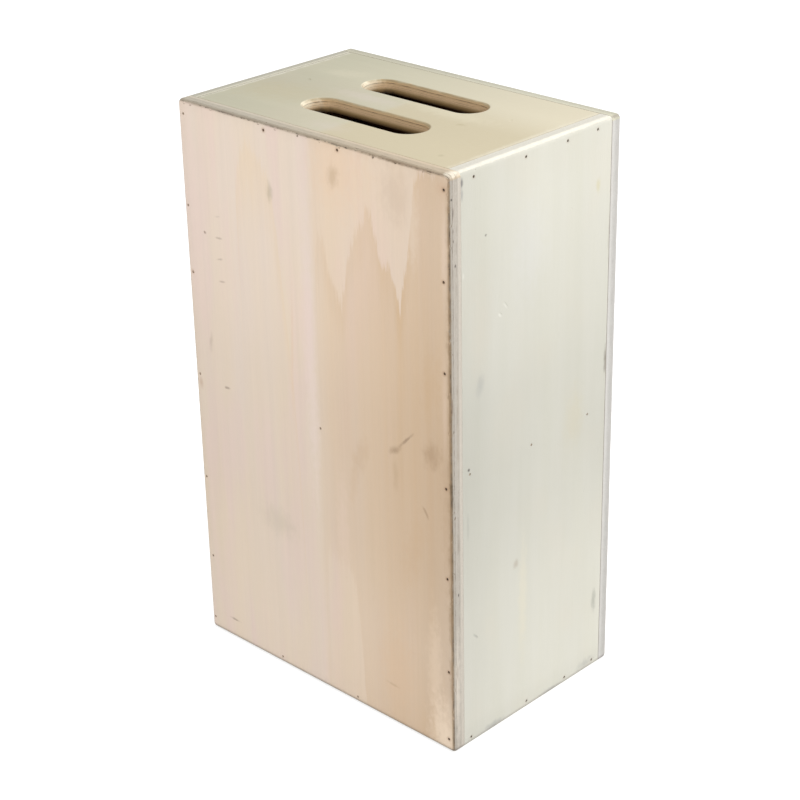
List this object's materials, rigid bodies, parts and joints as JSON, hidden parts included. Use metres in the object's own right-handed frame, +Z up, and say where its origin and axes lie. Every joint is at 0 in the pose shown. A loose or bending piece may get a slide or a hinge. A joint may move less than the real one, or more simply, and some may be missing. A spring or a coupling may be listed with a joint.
{
  "type": "apple box",
  "caption": "Closed plywood platform box standing on end, with rounded edges, nailed butt joints and two long hand slots in each end.",
  "frame": {"origin": "on the floor under the middle of the bottom end, as the box stands on end", "axes": "+Z up along the box's length, X across the broad faces, Y through its depth, with the front broad face at -Y"},
  "size_m": [0.305, 0.203, 0.508],
  "materials": {
    "broad_board_plywood": "rotary-cut veneer, sanded, thin clear lacquer, satin",
    "narrow_board_plywood": "pale veneer with a fine straight grain, sanded, thin clear lacquer, satin",
    "end_board_plywood": "pale veneer with bare plied edges in the slots, sanded, thin clear lacquer, satin",
    "divider_plywood": "unfinished veneer, matte",
    "nail_steel": "dull dark steel"
  },
  "bodies": {
    "root": {"front_board": "broad_board_plywood", "back_board": "broad_board_plywood", "left_board": "narrow_board_plywood", "right_board": "narrow_board_plywood", "top_end": "end_board_plywood", "bottom_end": "end_board_plywood", "centre_divider": "divider_plywood", "front_left_nails": "nail_steel", "front_right_nails": "nail_steel", "front_top_nails": "nail_steel", "front_bottom_nails": "nail_steel", "front_divider_nail": "nail_steel", "back_left_nails": "nail_steel", "back_right_nails": "nail_steel", "back_top_nails": "nail_steel", "back_bottom_nails": "nail_steel", "back_divider_nail": "nail_steel", "left_top_nails": "nail_steel", "left_bottom_nails": "nail_steel", "left_divider_nails": "nail_steel", "right_top_nails": "nail_steel", "right_bottom_nails": "nail_steel", "right_divider_nails": "nail_steel"}
  },
  "joints": []
}
